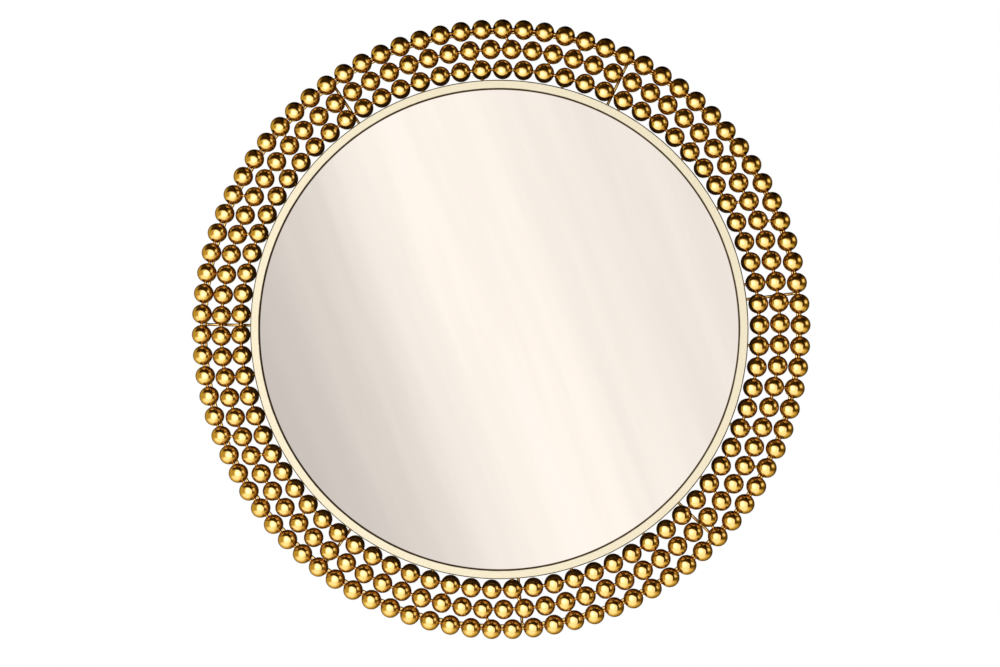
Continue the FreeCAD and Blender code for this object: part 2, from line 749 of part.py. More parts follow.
def write(parts):
    os.makedirs(OUT, exist_ok=True)
    for part in parts:
        part.Shape.exportStep(os.path.join(OUT, part.Label + ".step"))
        print("%-22s %3d solids %14.1f mm3" % (part.Label, len(part.Shape.Solids), part.Shape.Volume))


PARTS = build()
check(PARTS)
write(PARTS)
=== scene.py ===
"""Round wall mirror with three rows of gold balls: its finish, its brazed joints and a plain studio.

Metres, +Z up.  The mirror faces -Y and its wall plane is y = 0.
Angles run anticlockwise from +X as the viewer sees them, in degrees."""
import math
from collections import namedtuple

import bmesh
import bpy
from mathutils import Matrix, Vector, noise


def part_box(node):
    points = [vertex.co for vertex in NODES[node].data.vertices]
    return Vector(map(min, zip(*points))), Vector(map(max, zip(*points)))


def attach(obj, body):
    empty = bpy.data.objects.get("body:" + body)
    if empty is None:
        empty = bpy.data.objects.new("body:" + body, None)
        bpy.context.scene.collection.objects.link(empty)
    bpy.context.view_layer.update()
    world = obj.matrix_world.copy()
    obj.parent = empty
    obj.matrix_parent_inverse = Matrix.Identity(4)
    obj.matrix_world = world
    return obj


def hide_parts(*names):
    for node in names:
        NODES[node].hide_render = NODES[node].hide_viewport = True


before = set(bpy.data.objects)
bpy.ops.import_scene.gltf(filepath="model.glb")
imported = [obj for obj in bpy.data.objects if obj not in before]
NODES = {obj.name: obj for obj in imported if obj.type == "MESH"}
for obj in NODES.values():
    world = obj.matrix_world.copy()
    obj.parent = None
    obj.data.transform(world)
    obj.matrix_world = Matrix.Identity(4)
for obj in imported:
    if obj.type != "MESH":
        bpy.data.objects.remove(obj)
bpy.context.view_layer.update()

# Photograph: 1000 x 667 pixels, seen from a little to the right
FRAME_WIDTH = 1000
FOCAL_PIXELS = 1539.7
SENSOR = 36.0
CAMERA_PLACE = Vector((0.1361, -2.0, 0.0169))
CAMERA_AIM = Vector((0.0023, 0.0, -0.0049))

# Rows of balls
Row = namedtuple("Row", "radius count angle")
ROWS = {
    "inner": Row(0.33520, 78, 1.12),
    "middle": Row(0.36098, 84, 1.33),
    "outer": Row(0.38676, 90, 0.95),
}
ROW_STEP = ROWS["middle"].radius - ROWS["inner"].radius
ROW_DEPTH = -0.0200
BALL_RADIUS = 0.0127
BAND_RADIUS = 0.3205
BAND_INSIDE = 0.3185
TIE_COUNT = 22
BAND_TIE_ANGLE = 11.0
INNER_TIE_ANGLE = 12.0
OUTER_TIE_ANGLE = 5.5
# Support behind the rows
BACKING_RADIUS = 0.38536
BACKING_DEPTH = -0.00515
SPOKE_ANGLES = (7.0, 64.0, 124.0, 179.0, 233.5, 274.7, 316.3)
# Back of the mirror
CLIP_COUNT = 8
CLIP_ANGLE = 22.5
CLIP_HALF_WIDTH = 0.009
CLIP_SCREW_RADIUS = 0.3055
CLIP_SEAT = -0.0075
HANGER_SCREWS = [(side * 0.200, 0.120 - below) for side in (-1, 1) for below in (0.00705, 0.0200)]
STRAP_SEAT = -0.0066
SCREW_TIP = -0.018

# Studio
FLOOR_HEIGHT = -1.75
FLOOR_RADIUS = 2.6
PANEL_DEPTH = -0.92
PANEL_TURN = -0.22
PANEL_LEVEL = 3.1
PANEL_FALL = 0.42
PANEL_MIDDLE = (-0.30, -0.08)
PANEL_LEFT = -0.74
PANEL_RIGHT = 0.92
PANEL_TOP = 0.55
PANEL_BOTTOM = -1.05
GLASS_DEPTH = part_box("mirror_glass")[0].y
GLASS_RADIUS = 0.309
GLASS_WALL_LEVEL = 1.33
GRADIENT_TURN = math.radians(21)
PLAIN_LEVEL = 0.9
ECHO_LEVEL = 0.30
ROOM_TOP = 1.4


# ---------------------------------------------------------------- node trees
class Nodes:
    """The node tree of a material or a world, with short calls for what is used here."""

    def __init__(self, owner):
        owner.use_nodes = True
        self.tree = owner.node_tree
        self.tree.nodes.clear()
        self.output = self.add("OutputWorld" if isinstance(owner, bpy.types.World) else "OutputMaterial")

    def feed(self, socket, value):
        if isinstance(value, bpy.types.NodeSocket):
            self.tree.links.new(value, socket)
        else:
            socket.default_value = value

    def add(self, kind, inputs=None, **settings):
        node = self.tree.nodes.new("ShaderNode" + kind)
        for name, value in settings.items():
            setattr(node, name, value)
        for name, value in (inputs or {}).items():
            self.feed(node.inputs[name], value)
        return node

    def math(self, operation, *values):
        return self.add("Math", dict(enumerate(values)), operation=operation).outputs[0]

    def times(self, first, second):
        return self.math("MULTIPLY", first, second)

    def step(self, value, low, high, start=0.0, end=1.0):
        """Goes smoothly from start to end while value goes from low to high."""
        inputs = {"Value": value, "From Min": low, "From Max": high, "To Min": start, "To Max": end}
        return self.add("MapRange", inputs, interpolation_type="SMOOTHSTEP").outputs[0]

    def window(self, value, low, high, soft):
        """1 between low and high, 0 outside, with soft edges."""
        rise = self.step(value, low - soft, low + soft)
        return self.times(rise, self.step(value, high - soft, high + soft, 1.0, 0.0))

    def mix(self, factor, first, second):
        node = self.add("Mix", data_type="RGBA")
        self.feed(node.inputs[0], factor)
        self.feed(node.inputs[6], first)
        self.feed(node.inputs[7], second)
        return node.outputs[2]

    def blend(self, factor, first, second):
        """A value between first and second."""
        node = self.add("Mix", data_type="FLOAT")
        self.feed(node.inputs[0], factor)
        self.feed(node.inputs[2], first)
        self.feed(node.inputs[3], second)
        return node.outputs[0]

    def mix_shader(self, factor, first, second):
        node = self.add("MixShader")
        self.feed(node.inputs[0], factor)
        self.feed(node.inputs[1], first)
        self.feed(node.inputs[2], second)
        return node.outputs[0]

    def noise(self, vector, scale, detail=3.0, rough=0.5):
        inputs = {"Vector": vector, "Scale": scale, "Detail": detail, "Roughness": rough}
        return self.add("TexNoise", inputs).outputs[0]

    def cells(self, vector, scale):
        """A random level for each grain."""
        return self.add("TexVoronoi", {"Vector": vector, "Scale": scale}).outputs["Color"]

    def ramp(self, value, stops, interpolation="EASE"):
        """Ramp through (position, grey level or colour) stops."""
        node = self.add("ValToRGB", {"Fac": value})
        ramp = node.color_ramp
        ramp.interpolation = interpolation
        while len(ramp.elements) < len(stops):
            ramp.elements.new(0.5)
        for element, (position, level) in zip(ramp.elements, stops):
            element.position = position
            element.color = colour(*level) if isinstance(level, tuple) else colour(level, level, level)
        return node.outputs[0]

    def vector(self, x, y, z):
        return self.add("CombineXYZ", {"X": x, "Y": y, "Z": z}).outputs[0]

    def parts_of(self, vector):
        return self.add("SeparateXYZ", {"Vector": vector}).outputs

    def place(self):
        """Object space, which is the mirror's own frame for every piece."""
        return self.add("TexCoord").outputs["Object"]

    def length(self, first, second):
        return self.math("SQRT", self.math("ADD", self.times(first, first), self.times(second, second)))

    def bump(self, height, distance, strength=1.0):
        return self.add("Bump", {"Height": height, "Distance": distance, "Strength": strength}).outputs[0]

    def echo(self):
        """Dims what reaches the eye by way of two or more polished surfaces."""
        return self.step(self.add("LightPath").outputs["Glossy Depth"], 1.2, 1.8, 1.0, ECHO_LEVEL)

    def warm(self, level):
        """The slightly warm white of the walls, at a level."""
        return self.vector(level, self.times(level, 0.985), self.times(level, 0.965))

    def surface(self, shader):
        self.feed(self.output.inputs["Surface"], shader)


class Finish(Nodes):
    """A surface material around one Principled shader."""

    def __init__(self, name, **sockets):
        self.material = bpy.data.materials.new(name)
        super().__init__(self.material)
        self.principled = self.add("BsdfPrincipled")
        self.surface(self.principled.outputs[0])
        for socket, value in sockets.items():
            self.set(socket.replace("_", " "), value)

    def set(self, socket, value):
        self.feed(self.principled.inputs[socket], value)


def colour(red, green, blue):
    return (red, green, blue, 1.0)


# ---------------------------------------------------------------- camera
def make_camera():
    data = bpy.data.cameras.new("camera")
    data.sensor_width = SENSOR
    data.lens = SENSOR * FOCAL_PIXELS / FRAME_WIDTH
    camera = bpy.data.objects.new("camera", data)
    camera.location = CAMERA_PLACE
    camera.rotation_euler = (CAMERA_AIM - CAMERA_PLACE).to_track_quat("-Z", "Y").to_euler()
    bpy.context.scene.collection.objects.link(camera)
    bpy.context.scene.camera = camera


# ---------------------------------------------------------------- studio
def staged(name, corners):
    mesh = bpy.data.meshes.new(name)
    mesh.from_pydata(corners, [], [tuple(range(len(corners)))])
    piece = bpy.data.objects.new(name, mesh)
    bpy.context.scene.collection.objects.link(piece)
    return piece


def make_floor():
    """Pale round floor, far below the mirror, whose rim fades into the white behind."""
    corners = []
    for i in range(96):
        angle = 2 * math.pi * i / 96
        corners.append((FLOOR_RADIUS * math.cos(angle), FLOOR_RADIUS * math.sin(angle), FLOOR_HEIGHT))
    floor = staged("floor", corners)
    floor.visible_glossy = False
    nodes = Finish("floor_paint", Base_Color=colour(0.84, 0.83, 0.80), Roughness=0.7)
    x, y, z = nodes.parts_of(nodes.place())
    far = nodes.step(nodes.length(x, y), 0.5 * FLOOR_RADIUS, 0.97 * FLOOR_RADIUS)
    camera = nodes.add("LightPath").outputs["Is Camera Ray"]
    white = nodes.add("Emission", {"Color": colour(1, 1, 1), "Strength": 1.0}).outputs[0]
    nodes.surface(nodes.mix_shader(nodes.times(far, camera), nodes.principled.outputs[0], white))
    nodes.material.cycles.emission_sampling = "NONE"
    floor.data.materials.append(nodes.material)


def make_panel():
    """The soft box in front, brightest left of its middle, with a near-black sheet above it: a painted
    dark reflection of the room above.
    """
    left, right, low, high = -2.6, 1.6, -1.74, 2.2
    panel = staged("soft_box", [(x, PANEL_DEPTH + PANEL_TURN * x, z)
                                for x, z in ((left, low), (left, high), (right, high), (right, low))])
    panel.visible_camera = False
    panel.visible_diffuse = False
    panel.visible_shadow = False
    material = bpy.data.materials.new("soft_box_light")
    nodes = Nodes(material)
    x, y, z = nodes.parts_of(nodes.place())
    off_middle = nodes.length(nodes.math("SUBTRACT", x, PANEL_MIDDLE[0]),
                              nodes.math("SUBTRACT", z, PANEL_MIDDLE[1]))
    level = nodes.step(off_middle, 0.05, 0.75, PANEL_LEVEL, PANEL_FALL * PANEL_LEVEL)
    level = nodes.times(level, nodes.echo())
    light = nodes.add("Emission", {"Color": colour(1.0, 0.99, 0.98), "Strength": level}).outputs[0]
    # painted reflection: a warm near-black sheet above the soft box, seen only in reflections, stands in
    # for the dark room above
    dark_reflection_sheet = {"Color": colour(0.034, 0.018, 0.004), "Strength": nodes.echo()}
    dark = nodes.add("Emission", dark_reflection_sheet).outputs[0]
    # soft edges; the upper one falls towards the right
    falling = nodes.math("MULTIPLY_ADD", nodes.math("MAXIMUM", x, -0.12), 0.4, z)
    shown = nodes.times(nodes.step(x, PANEL_LEFT - 0.30, PANEL_LEFT + 0.30),
                        nodes.step(x, PANEL_RIGHT - 0.17, PANEL_RIGHT + 0.17, 1.0, 0.0))
    shown = nodes.times(shown, nodes.step(falling, PANEL_TOP - 0.18, PANEL_TOP + 0.18, 1.0, 0.0))
    shown = nodes.times(shown, nodes.step(z, PANEL_BOTTOM - 0.10, PANEL_BOTTOM + 0.10))
    # the area of the painted dark reflection: above the soft box, short of its right edge
    dark_reflection_area = nodes.times(nodes.step(z, 0.50, 0.86), nodes.step(x, 0.80, 1.0, 1.0, 0.0))
    # the glass, which alone is perfectly sharp, doesn't show the panel
    seen_at = nodes.times(nodes.math("SUBTRACT", 1.0, nodes.add("NewGeometry").outputs["Backfacing"]),
                          nodes.math("SUBTRACT", 1.0, nodes.add("LightPath").outputs["Is Singular Ray"]))
    clear = nodes.add("BsdfTransparent").outputs[0]
    seen = nodes.mix_shader(nodes.times(dark_reflection_area, seen_at), clear, dark)
    nodes.surface(nodes.mix_shader(nodes.times(shown, seen_at), seen, light))
    material.cycles.emission_sampling = "NONE"
    panel.data.materials.append(material)


def make_world():
    """White for the camera, a plain level for diffuse light, and a painted room for reflections.

    The balls show a warm room that is dark above, and the glass shows pale walls."""
    world = bpy.data.worlds.new("studio")
    bpy.context.scene.world = world
    nodes = Nodes(world)
    world.cycles.sampling_method = "NONE"
    x, y, z = nodes.parts_of(nodes.add("TexCoord").outputs["Generated"])
    azimuth = nodes.math("DEGREES", nodes.math("ARCTAN2", x, nodes.times(y, -1.0)))
    elevation = nodes.math("DEGREES", nodes.math("ARCSINE", z))
    height = nodes.math("MULTIPLY_ADD", elevation, 1 / 180, 0.5)
    left = nodes.ramp(height, [(0.30, 0.75), (0.37, 0.64), (0.42, 0.50), (0.50, 0.48), (0.60, 0.51),
                               (0.68, 0.44), (0.74, 0.24), (0.79, 0.09), (0.85, 0.05)])
    right = nodes.ramp(height, [(0.30, 0.40), (0.36, 0.22), (0.42, 0.12), (0.50, 0.16), (0.60, 0.24),
                                (0.68, 0.15), (0.74, 0.05), (0.83, 0.02)])
    level = nodes.blend(nodes.step(azimuth, -20.0, 50.0), left, right)
    turned = nodes.math("ABSOLUTE", azimuth)
    level = nodes.times(level, nodes.step(turned, 105.0, 145.0, 1.0, 0.25))
    # the floor's bright side is a little to the left
    turned = nodes.math("DIVIDE", nodes.math("ABSOLUTE", nodes.math("ADD", azimuth, 22.0)), 180.0)
    ground = nodes.ramp(turned, [(0.0, 1.25), (0.22, 1.2), (0.34, 0.88), (0.55, 0.62),
                                 (0.80, 0.34), (1.0, 0.22)])
    ground = nodes.blend(nodes.step(elevation, -78.0, -58.0), nodes.blend(0.5, ground, 0.72), ground)
    level = nodes.blend(nodes.step(elevation, -46.0, -20.0), ground, level)

    def patch(under, azimuths, elevations, soft, value):
        mask = nodes.times(nodes.window(azimuth, *azimuths, soft),
                           nodes.window(elevation, *elevations, soft))
        return nodes.blend(mask, under, value)

    level = patch(level, (-72, 0), (-60, -26), 10, 1.25)
    level = patch(level, (30, 54), (-22, 26), 8, 0.07)
    level = patch(level, (24, 51), (20, 62), 7, 0.02)
    level = patch(level, (59, 96), (3, 31), 6, 0.95)
    shades = [(0.0, (0, 0, 0)), (0.06, (0.06, 0.034, 0.003)), (0.22, (0.23, 0.155, 0.02)),
              (0.50, (0.53, 0.42, 0.10)), (0.70, (0.74, 0.63, 0.25)), (0.85, (0.92, 0.86, 0.48)),
              (1.0, (1.05, 1.05, 0.80)), (ROOM_TOP, (1.4, 1.4, 1.3))]
    room = nodes.ramp(nodes.math("DIVIDE", level, ROOM_TOP),
                      [(place / ROOM_TOP, shade) for place, shade in shades])
    # the glass, which alone is perfectly sharp, shows pale walls instead
    path = nodes.add("LightPath").outputs
    pale = nodes.times(nodes.ramp(nodes.math("DIVIDE", nodes.math("ABSOLUTE", azimuth), 180.0),
                                  [(0.0, 1.08), (0.2, 1.0), (0.4, 0.82), (0.7, 0.66), (1.0, 0.6)]),
                       nodes.ramp(height, [(0.2, 0.72), (0.46, 0.97), (0.56, 1.0), (0.8, 0.86)]))
    pale = nodes.warm(pale)
    room = nodes.mix(path["Is Singular Ray"], room, pale)
    # far in front is the wall whose light and shade the camera sees in the glass
    forward = nodes.times(y, -1.0)
    near = GLASS_DEPTH - CAMERA_PLACE.y
    glass_x = nodes.math("MULTIPLY_ADD", nodes.math("DIVIDE", x, forward), near, CAMERA_PLACE.x)
    glass_z = nodes.math("MULTIPLY_ADD", nodes.math("DIVIDE", z, forward), near, CAMERA_PLACE.z)
    across = nodes.math("ADD", nodes.times(glass_x, math.cos(GRADIENT_TURN)),
                        nodes.times(glass_z, math.sin(GRADIENT_TURN)))
    along = nodes.math("SUBTRACT", nodes.times(glass_z, math.cos(GRADIENT_TURN)),
                       nodes.times(glass_x, math.sin(GRADIENT_TURN)))
    wall = nodes.ramp(nodes.math("ADD", across, 0.5), [
        (0.0, 0.52), (0.21, 0.61), (0.35, 0.79), (0.42, 0.945), (0.50, 1.0),
        (0.60, 0.955), (0.69, 0.895), (0.80, 0.87)], "CARDINAL")
    streaks = nodes.vector(nodes.times(across, 22.0), nodes.times(along, 1.3), 0.0)
    streaks = nodes.noise(streaks, 1.0, 4.0, 0.6)
    wall = nodes.times(wall, nodes.step(streaks, 0.3, 0.7,
                                        0.965 * GLASS_WALL_LEVEL, 1.03 * GLASS_WALL_LEVEL))
    off_glass = nodes.length(glass_x, glass_z)
    ahead = nodes.times(nodes.step(forward, 0.6, 0.7),
                        nodes.step(off_glass, GLASS_RADIUS + 0.02, GLASS_RADIUS + 0.06, 1.0, 0.0))
    room = nodes.mix(ahead, room, nodes.warm(wall))
    room = nodes.mix(nodes.echo(), colour(0, 0, 0), room)
    seen = nodes.math("MAXIMUM", path["Is Camera Ray"], path["Is Transmission Ray"])
    light = nodes.mix(path["Is Glossy Ray"], colour(PLAIN_LEVEL, PLAIN_LEVEL, PLAIN_LEVEL), room)
    light = nodes.mix(seen, light, colour(1.0, 1.0, 1.0))
    nodes.surface(nodes.add("Background", {"Color": light, "Strength": 1.0}).outputs[0])


# ---------------------------------------------------------------- finishes
def ball_gold():
    """Polished plate: a little uneven in tone, dulled round the drilled holes and darker there, partly
    patina at the joints and partly painted shade in the crevices between the balls.
    """
    finish = Finish("polished_ball_gold", Metallic=1.0, Specular_Tint=colour(0.45, 0.27, 0.10),
                    Coat_Weight=1.0, Coat_IOR=1.9, Coat_Roughness=0.07)
    place = finish.place()
    x, y, z = finish.parts_of(place)
    tone = finish.mix(finish.noise(place, 26.0, 1.0), colour(0.97, 0.61, 0.175), colour(0.91, 0.55, 0.14))
    # distance from the circle on which the row's wire runs
    past_inner = finish.math("SUBTRACT", finish.length(x, z), ROWS["inner"].radius)
    rows = finish.math("DIVIDE", past_inner, ROW_STEP)
    off = finish.times(finish.math("SUBTRACT", rows, finish.math("ROUND", rows)), ROW_STEP)
    from_wire = finish.length(off, finish.math("SUBTRACT", y, ROW_DEPTH))
    ragged = finish.math("MULTIPLY_ADD", finish.noise(place, 900.0, 3.0), 0.0012, from_wire)
    # darker and duller near the necks: partly patina at the brazed joint, partly painted shade where the
    # balls meet
    neck_shade_and_patina = finish.step(ragged, 0.0026, 0.0044, 0.75, 0.0)
    finish.set("Base Color", finish.mix(neck_shade_and_patina, tone, colour(0.42, 0.21, 0.055)))
    smear = finish.step(finish.noise(place, 240.0, 4.0), 0.3, 0.75, 0.065, 0.13)
    finish.set("Roughness", finish.math("MULTIPLY_ADD", neck_shade_and_patina, 0.22, smear))
    finish.set("Normal", finish.bump(finish.noise(place, 150.0, 2.0), 0.00012, 0.6))
    return finish.material


def wire_gold(name, low, high, grain):
    """Drawn or brazed wire: duller than the balls, browned in places."""
    finish = Finish(name, Metallic=1.0, Specular_Tint=colour(0.45, 0.27, 0.10))
    place = finish.place()
    patches = finish.step(finish.noise(place, 120.0, 4.0, 0.6), 0.50, 0.76)
    finish.set("Base Color", finish.mix(patches, colour(0.97, 0.66, 0.25), colour(0.55, 0.31, 0.08)))
    finish.set("Roughness", finish.step(finish.noise(place, grain, 4.0), 0.3, 0.7, low, high))
    finish.set("Normal", finish.bump(finish.noise(place, grain, 3.0), 0.0001, 0.7))
    return finish.material


def band_gold():
    """Satin pale gold with fine brushing round the band, and painted shade as a dark line along the outer
    and the inner edge of its front.
    """
    finish = Finish("satin_band_gold", Metallic=0.1, Specular_IOR_Level=0.3)
    place = finish.place()
    x, y, z = finish.parts_of(place)
    radius = finish.length(x, z)
    angle = finish.math("ARCTAN2", z, x)
    brushed = finish.noise(finish.vector(finish.times(radius, 5200.0), finish.times(angle, 14.0),
                                         finish.times(y, 5200.0)), 1.0, 4.0, 0.6)
    cloud = finish.noise(place, 14.0, 3.0)
    tone = finish.mix(cloud, colour(0.985, 0.885, 0.665), colour(0.965, 0.86, 0.62))
    worn = finish.step(finish.noise(place, 75.0, 5.0, 0.7), 0.66, 0.74, 0.0, 0.35)
    tone = finish.mix(worn, tone, colour(0.80, 0.66, 0.42))
    # painted shade: dark lines along the outer edge of the front and along its inner edge by the glass,
    # standing in for shadow
    ragged = finish.math("MULTIPLY_ADD", finish.noise(place, 60.0, 3.0), 0.0008, radius)
    outer = finish.step(ragged, BAND_RADIUS - 0.0013, BAND_RADIUS - 0.0007)
    inner = finish.times(finish.step(ragged, GLASS_RADIUS + 0.0010, GLASS_RADIUS + 0.0016, 1.0, 0.0),
                         finish.step(y, -0.0270, -0.0262, 1.0, 0.0))
    edges = finish.math("MAXIMUM", outer, inner)
    finish.set("Base Color", finish.mix(edges, tone, colour(0.07, 0.04, 0.015)))
    finish.set("Roughness", finish.step(brushed, 0.25, 0.75, 0.34, 0.52))
    finish.set("Normal", finish.bump(brushed, 0.00003, 0.5))
    return finish.material


def mirror():
    """Silvered glass in front, a little uneven in tone; grey backing paint and green-grey edge."""
    finish = Finish("silvered_glass")
    place = finish.place()
    normal = finish.parts_of(finish.add("NewGeometry").outputs["True Normal"])
    front = finish.step(normal["Y"], -0.98, -0.90, 1.0, 0.0)
    haze = finish.noise(place, 6.0, 5.0, 0.65)
    silver = finish.mix(haze, colour(0.755, 0.702, 0.655), colour(0.743, 0.690, 0.643))
    x, y, z = finish.parts_of(place)
    # painted shade: a thin dark line round the edge of the silvering, where the band's lip shades the
    # glass
    rim = finish.step(finish.length(x, z), GLASS_RADIUS - 0.0015, GLASS_RADIUS - 0.0009)
    silver = finish.mix(rim, silver, colour(0.10, 0.065, 0.035))
    edge = finish.mix(finish.noise(place, 300.0), colour(0.20, 0.26, 0.23), colour(0.28, 0.33, 0.30))
    finish.set("Base Color", finish.mix(front, edge, silver))
    finish.set("Metallic", front)
    finish.set("Roughness", finish.blend(front, 0.45, 0.0))
    return finish.material


def grained(name, light, dark, roughness, scale, depth, specular=0.5):
    """Matt surface with a fine grain, for the strip, the rubber and the foam."""
    finish = Finish(name, Specular_IOR_Level=specular)
    place = finish.place()
    grain = finish.noise(place, scale, 5.0, 0.65)
    finish.set("Base Color", finish.mix(finish.step(grain, 0.35, 0.7), colour(*light), colour(*dark)))
    finish.set("Roughness", finish.step(grain, 0.3, 0.7, roughness - 0.08, roughness + 0.08))
    finish.set("Normal", finish.bump(grain, depth, 0.7))
    return finish.material


def painted_board():
    """Fibreboard under matt black paint: roller texture, short fibres and a few rubbed spots."""
    finish = Finish("painted_fibreboard")
    place = finish.place()
    x, y, z = finish.parts_of(place)
    roller = finish.noise(place, 420.0, 3.0)
    lengthways = finish.vector(finish.times(x, 900.0), finish.times(y, 900.0), finish.times(z, 160.0))
    fibres = finish.noise(lengthways, 1.0, 3.0)
    rubbed = finish.step(finish.noise(place, 21.0, 6.0, 0.7), 0.64, 0.74, 0.0, 0.5)
    paint = finish.mix(fibres, colour(0.052, 0.050, 0.046), colour(0.036, 0.034, 0.032))
    finish.set("Base Color", finish.mix(rubbed, paint, colour(0.085, 0.075, 0.06)))
    finish.set("Roughness", finish.step(roller, 0.3, 0.7, 0.62, 0.82))
    finish.set("Normal", finish.bump(finish.math("ADD", roller, finish.times(fibres, 0.5)), 0.0002, 0.8))
    return finish.material


def zinc_plate(name, bright, dull, grain):
    """Bright zinc: faint spangle, fine scratches and a few white stains."""
    finish = Finish(name, Metallic=0.4)
    place = finish.place()
    x, y, z = finish.parts_of(place)
    spangle = finish.cells(place, grain)
    crossways = finish.vector(finish.times(x, 260.0), finish.times(y, 2600.0), finish.times(z, 2600.0))
    scratches = finish.noise(crossways, 1.0)
    stains = finish.step(finish.noise(place, 90.0, 5.0, 0.7), 0.60, 0.74, 0.0, 0.45)
    metal = finish.mix(spangle, colour(*bright), colour(*dull))
    finish.set("Base Color", finish.mix(stains, metal, colour(0.52, 0.52, 0.50)))
    smear = finish.step(scratches, 0.3, 0.7, 0.22, 0.36)
    finish.set("Roughness", finish.math("MULTIPLY_ADD", stains, 0.4, smear))
    finish.set("Normal", finish.bump(scratches, 0.00004, 0.5))
    return finish.material


def dress_nodes(finishes):
    for node in NODES.values():
        for slot in node.material_slots:
            slot.material = finishes[slot.material.name.split(".")[0]]


# ---------------------------------------------------------------- brazed and welded joints
def on_circle(radius, angle, y):
    turn = math.radians(angle)
    return Vector((radius * math.cos(turn), y, radius * math.sin(turn)))


class Lumps:
    """One mesh of many small turned bodies, each a little uneven, as a torch leaves them."""

    SIDES = 16

    def __init__(self):
        self.points = []
        self.faces = []

    def turned(self, start, end, profile, uneven=0.05):
        """Surface round the line from start to end; profile holds (distance from start, radius)."""
        along = (end - start).normalized()
        side = along.cross(Vector((0, 1, 0)) if abs(along.y) < 0.9 else Vector((1, 0, 0))).normalized()
        up = along.cross(side)
        first = len(self.points)
        for distance, radius in profile:
            middle = start + along * distance
            for i in range(self.SIDES):
                turn = 2 * math.pi * i / self.SIDES
                out = side * math.cos(turn) + up * math.sin(turn)
                wobble = noise.noise((middle + out * radius) * 700.0)
                self.points.append(middle + out * (radius * (1 + uneven * wobble)))
        for row in range(len(profile) - 1):
            for i in range(self.SIDES):
                low = first + row * self.SIDES
                j = (i + 1) % self.SIDES
                self.faces.append((low + i, low + j, low + self.SIDES + j, low + self.SIDES + i))

    def piece(self, name, material, slot):
        mesh = bpy.data.meshes.new(name)
        mesh.from_pydata(self.points, [], self.faces)
        return smooth_piece(name, mesh, material)


def smooth_piece(name, mesh, material):
    work = bmesh.new()
    work.from_mesh(mesh)
    bmesh.ops.recalc_face_normals(work, faces=work.faces)
    work.to_mesh(mesh)
    work.free()
    mesh.shade_smooth()
    mesh.materials.append(material)
    piece = bpy.data.objects.new(name, mesh)
    bpy.context.scene.collection.objects.link(piece)
    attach(piece, "mirror")
    return piece


def spool(length, waist, flare, near_ball=True):
    """Profile of a braze: widest where it wets its ends, thin between them."""
    sunk = math.sqrt(BALL_RADIUS ** 2 - flare ** 2) - 0.00008
    low = sunk if near_ball else -0.0001
    high = length - sunk
    middle = (low + high) / 2
    half = (high - low) / 2
    profile = []
    for i in range(11):
        share = -1 + i / 5
        profile.append((middle + share * half, waist + (flare - waist) * abs(share) ** 2.4))
    return profile


def ball_centres(row):
    radius, count, angle = ROWS[row]
    return [on_circle(radius, angle + 360 * i / count, ROW_DEPTH) for i in range(count)]


def nearest(points, place):
    return min(points, key=lambda point: (point - place).length)


def braze_necks(row):
    """The wire shows between the balls of a row only as a short neck of braze."""
    lumps = Lumps()
    balls = ball_centres(row)
    for i, ball in enumerate(balls):
        other = balls[(i + 1) % len(balls)]
        lumps.turned(ball, other, spool((other - ball).length, 0.00195, 0.0028))
    return lumps


def braze_ties(near, far, start):
    lumps = Lumps()
    inner, outer = ball_centres(near), ball_centres(far)
    for i in range(TIE_COUNT):
        aim = on_circle(ROWS[far].radius, start + 360 * i / TIE_COUNT, ROW_DEPTH)
        ball = nearest(outer, aim)
        other = nearest(inner, ball * (ROWS[near].radius / ROWS[far].radius))
        lumps.turned(other, ball, spool((ball - other).length, 0.0018, 0.0026))
    return lumps


def braze_band_ties():
    lumps = Lumps()
    for i in range(TIE_COUNT):
        aim = on_circle(ROWS["inner"].radius, BAND_TIE_ANGLE + 360 * i / TIE_COUNT, ROW_DEPTH)
        ball = nearest(ball_centres("inner"), aim)
        flat = Vector((ball.x, 0, ball.z)).normalized() * BAND_RADIUS
        foot = Vector((flat.x, ROW_DEPTH, flat.z))
        lumps.turned(foot, ball, spool((ball - foot).length, 0.0018, 0.0026, near_ball=False))
    return lumps


def weld_spokes():
    """A fillet where each rod meets the band and a lump where it meets the ring."""
    lumps = Lumps()
    foot = [(-0.0001, 0.0031), (0.0003, 0.0027), (0.0009, 0.0023), (0.0017, 0.00202), (0.0026, 0.00188)]
    head = [(-0.0038, 0.00188), (-0.0028, 0.0021), (-0.0018, 0.0024), (-0.0008, 0.00252),
            (0.0002, 0.0023), (0.0008, 0.0019), (0.0012, 0.0012)]
    for angle in SPOKE_ANGLES:
        band = on_circle(BAND_RADIUS, angle, BACKING_DEPTH)
        ring = on_circle(BACKING_RADIUS, angle, BACKING_DEPTH)
        lumps.turned(band, ring, foot, uneven=0.16)
        lumps.turned(ring, ring + (ring - band), head, uneven=0.16)
    return lumps


def weld_clips():
    """A bead down each side of a clip's leg, against the inside of the band."""
    lumps = Lumps()
    for i in range(CLIP_COUNT):
        angle = CLIP_ANGLE + 360 * i / CLIP_COUNT
        for side in (-1, 1):
            turn = angle + side * math.degrees(CLIP_HALF_WIDTH / BAND_INSIDE)
            start = on_circle(BAND_INSIDE - 0.0001, turn, -0.0084)
            end = on_circle(BAND_INSIDE - 0.0001, turn, -0.0034)
            profile = []
            for k in range(11):
                bulge = math.sin(math.pi * (0.06 + 0.88 * k / 10)) ** 0.5
                profile.append((0.005 * k / 10, 0.0009 * bulge))
            lumps.turned(start, end, profile, uneven=0.3)
    return lumps


